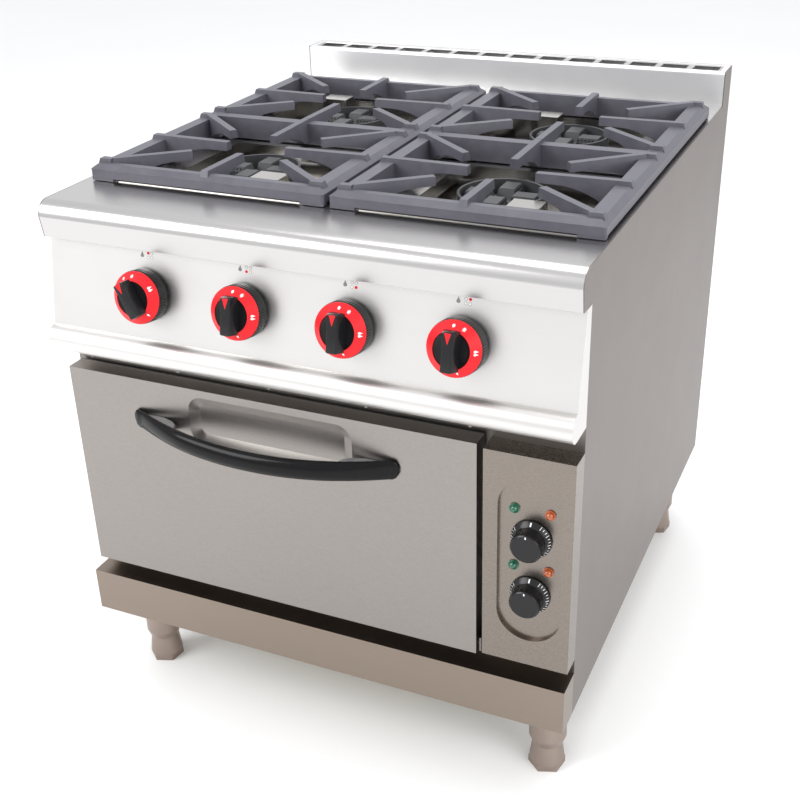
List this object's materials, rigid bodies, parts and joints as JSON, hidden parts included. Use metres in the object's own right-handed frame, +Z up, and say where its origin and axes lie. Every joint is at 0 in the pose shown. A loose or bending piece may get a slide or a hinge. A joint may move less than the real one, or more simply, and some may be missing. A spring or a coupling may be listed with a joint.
{
  "type": "commercial gas range",
  "caption": "Commercial gas hob on an electric oven: cast grates over star burners, lever knobs, hinged oven door with bow handle, adjustable round legs.",
  "frame": {"origin": "on the floor, under the middle of the overall box", "axes": "+X to the right seen from the front, +Y to the back (the front faces -Y), +Z up"},
  "size_m": [0.8, 0.991, 0.908],
  "materials": {
    "stainless": "brushed",
    "frame_steel": "matt",
    "dark_steel": "satin",
    "zinc_steel": "satin",
    "burner_iron": "matt",
    "pipe_steel": "satin",
    "valve_brass": "satin",
    "oven_enamel": "gloss",
    "wool": "matt",
    "element_steel": "matt",
    "chrome_wire": "gloss",
    "lamp_green": "gloss",
    "lamp_orange": "gloss",
    "black_plastic": "matt",
    "leg_steel": "satin",
    "seal_rubber": "matt",
    "handle_black": "gloss",
    "cast_black": "satin",
    "knob_black": "satin",
    "ring_red": "gloss"
  },
  "bodies": {
    "body": {"side_panel_left": "stainless", "side_panel_right": "stainless", "back_panel": "stainless", "front_frame": "stainless", "front_plinth": "stainless", "hob_top": "stainless", "control_panel": "stainless", "backguard": "stainless", "control_box": "stainless", "spill_tray_left": "stainless", "spill_tray_right": "stainless", "base_frame": "frame_steel", "drip_pans": "dark_steel", "control_panel_screws": "zinc_steel", "flue_grille": "stainless", "burner_bodies": "burner_iron", "burner_heads": "burner_iron", "pilot_shields": "stainless", "gas_manifold": "pipe_steel", "gas_valves": "valve_brass", "gas_inlet_pipe": "pipe_steel", "oven_liner": "oven_enamel", "oven_insulation": "wool", "oven_element_top": "element_steel", "oven_element_bottom": "element_steel", "shelf_runners": "chrome_wire", "oven_shelf": "chrome_wire", "oven_thermostats": "zinc_steel", "lamps_green": "lamp_green", "lamps_orange": "lamp_orange", "terminal_block": "black_plastic", "cable_gland": "black_plastic", "leg_sleeves": "leg_steel", "hinge_brackets": "zinc_steel"},
    "door": {"door_skin": "stainless", "door_liner": "stainless", "door_insulation": "wool", "door_gasket": "seal_rubber", "door_handle": "handle_black", "door_handle_screws": "zinc_steel"},
    "grate_left": {"grate_left": "cast_black"},
    "grate_right": {"grate_right": "cast_black"},
    "spindle_1": {"valve_spindle_1": "valve_brass"},
    "knob_1": {"gas_knob_1": "knob_black", "knob_ring_1": "ring_red"},
    "spindle_2": {"valve_spindle_2": "valve_brass"},
    "knob_2": {"gas_knob_2": "knob_black", "knob_ring_2": "ring_red"},
    "spindle_3": {"valve_spindle_3": "valve_brass"},
    "knob_3": {"gas_knob_3": "knob_black", "knob_ring_3": "ring_red"},
    "spindle_4": {"valve_spindle_4": "valve_brass"},
    "knob_4": {"gas_knob_4": "knob_black", "knob_ring_4": "ring_red"},
    "dial_upper": {"thermostat_knob_upper": "knob_black"},
    "dial_lower": {"thermostat_knob_lower": "knob_black"},
    "foot_1": {"foot_1": "leg_steel"},
    "foot_2": {"foot_2": "leg_steel"},
    "foot_3": {"foot_3": "leg_steel"},
    "foot_4": {"foot_4": "leg_steel"}
  },
  "joints": [
    {"name": "door_hinge", "type": "hinge", "parent": "body", "child": "door", "pos_m": [-0.0645, -0.424, 0.256], "axis": [1, 0, 0], "range_deg": [0, 90]},
    {"name": "grate_left_lift", "type": "slide", "parent": "body", "child": "grate_left", "axis": [0, 0, 1], "range_m": [0, 0.15]},
    {"name": "grate_right_lift", "type": "slide", "parent": "body", "child": "grate_right", "axis": [0, 0, 1], "range_m": [0, 0.15]},
    {"name": "gas_knob_1_push", "type": "slide", "parent": "body", "child": "spindle_1", "axis": [0, 0.9836, -0.1802], "range_m": [0, 0.004], "stiffness_N_per_m": 1500, "springref_m": -0.003},
    {"name": "gas_knob_1_turn", "type": "hinge", "parent": "spindle_1", "child": "knob_1", "pos_m": [-0.23375, -0.43511, 0.72992], "axis": [0, -0.9836, 0.1802], "range_deg": [-33, 132]},
    {"name": "gas_knob_2_push", "type": "slide", "parent": "body", "child": "spindle_2", "axis": [0, 0.9836, -0.1802], "range_m": [0, 0.004], "stiffness_N_per_m": 1500, "springref_m": -0.003},
    {"name": "gas_knob_2_turn", "type": "hinge", "parent": "spindle_2", "child": "knob_2", "pos_m": [-0.07525, -0.43511, 0.72992], "axis": [0, -0.9836, 0.1802], "range_deg": [0, 165]},
    {"name": "gas_knob_3_push", "type": "slide", "parent": "body", "child": "spindle_3", "axis": [0, 0.9836, -0.1802], "range_m": [0, 0.004], "stiffness_N_per_m": 1500, "springref_m": -0.003},
    {"name": "gas_knob_3_turn", "type": "hinge", "parent": "spindle_3", "child": "knob_3", "pos_m": [0.08325, -0.43511, 0.72992], "axis": [0, -0.9836, 0.1802], "range_deg": [0, 165]},
    {"name": "gas_knob_4_push", "type": "slide", "parent": "body", "child": "spindle_4", "axis": [0, 0.9836, -0.1802], "range_m": [0, 0.004], "stiffness_N_per_m": 1500, "springref_m": -0.003},
    {"name": "gas_knob_4_turn", "type": "hinge", "parent": "spindle_4", "child": "knob_4", "pos_m": [0.24175, -0.43511, 0.72992], "axis": [0, -0.9836, 0.1802], "range_deg": [0, 165]},
    {"name": "dial_upper_turn", "type": "hinge", "parent": "body", "child": "dial_upper", "pos_m": [0.341, -0.45, 0.459], "axis": [0, 1, 0], "range_deg": [0, 270]},
    {"name": "dial_lower_turn", "type": "hinge", "parent": "body", "child": "dial_lower", "pos_m": [0.341, -0.45, 0.368], "axis": [0, 1, 0], "range_deg": [0, 270]},
    {"name": "foot_1_screw", "type": "slide", "parent": "body", "child": "foot_1", "axis": [0, 0, -1], "range_m": [0, 0.03]},
    {"name": "foot_2_screw", "type": "slide", "parent": "body", "child": "foot_2", "axis": [0, 0, -1], "range_m": [0, 0.03]},
    {"name": "foot_3_screw", "type": "slide", "parent": "body", "child": "foot_3", "axis": [0, 0, -1], "range_m": [0, 0.03]},
    {"name": "foot_4_screw", "type": "slide", "parent": "body", "child": "foot_4", "axis": [0, 0, -1], "range_m": [0, 0.03]}
  ]
}
